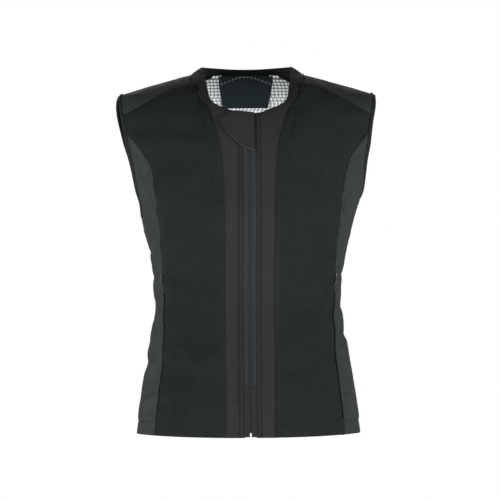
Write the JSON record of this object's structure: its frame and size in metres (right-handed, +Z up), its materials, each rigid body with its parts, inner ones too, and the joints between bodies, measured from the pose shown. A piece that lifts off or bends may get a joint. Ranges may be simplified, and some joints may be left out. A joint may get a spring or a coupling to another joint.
{
  "type": "motorcycle airbag vest",
  "caption": "Sleeveless zip-front airbag vest with padded mesh front and back, stretch side panels, yokes and bound armholes, in its worn shape.",
  "frame": {"origin": "midway between the shoulders, at the level where the vest rests on the wearer's shoulders", "axes": "+Z up, +X towards the wearer's left, so the front faces -Y"},
  "size_m": [0.4225, 0.2598, 0.5996],
  "materials": {
    "mesh": "open diamond knit mesh over padding, matt",
    "stretch": "smooth stretch knit, matt",
    "yoke": "tight woven cloth, matt",
    "placket": "plain woven cloth, matt",
    "band": "folded binding tape, matt",
    "lining": "white honeycomb spacer mesh",
    "facing": "smooth dark patch",
    "zip": "zip tape and covered coil",
    "puller": "small cast pull"
  },
  "bodies": {
    "root": {"armhole_band_left": "band", "armhole_band_right": "band", "back_lining": "lining", "back_panel": "mesh", "front_mesh_left": "mesh", "front_mesh_right": "mesh", "neck_band": "band", "neck_facing": "facing", "placket_left": "placket", "placket_right": "placket", "pocket_puller_left": "puller", "pocket_puller_right": "puller", "pocket_welt_left": "stretch", "pocket_welt_right": "stretch", "side_hem_left": "stretch", "side_hem_right": "stretch", "side_panel_left": "stretch", "side_panel_right": "stretch", "yoke_left": "yoke", "yoke_right": "yoke", "zip_coil": "zip", "zip_cover_left": "placket", "zip_cover_right": "placket", "zip_flap": "placket", "zip_tape_left": "zip", "zip_tape_right": "zip"}
  },
  "joints": []
}
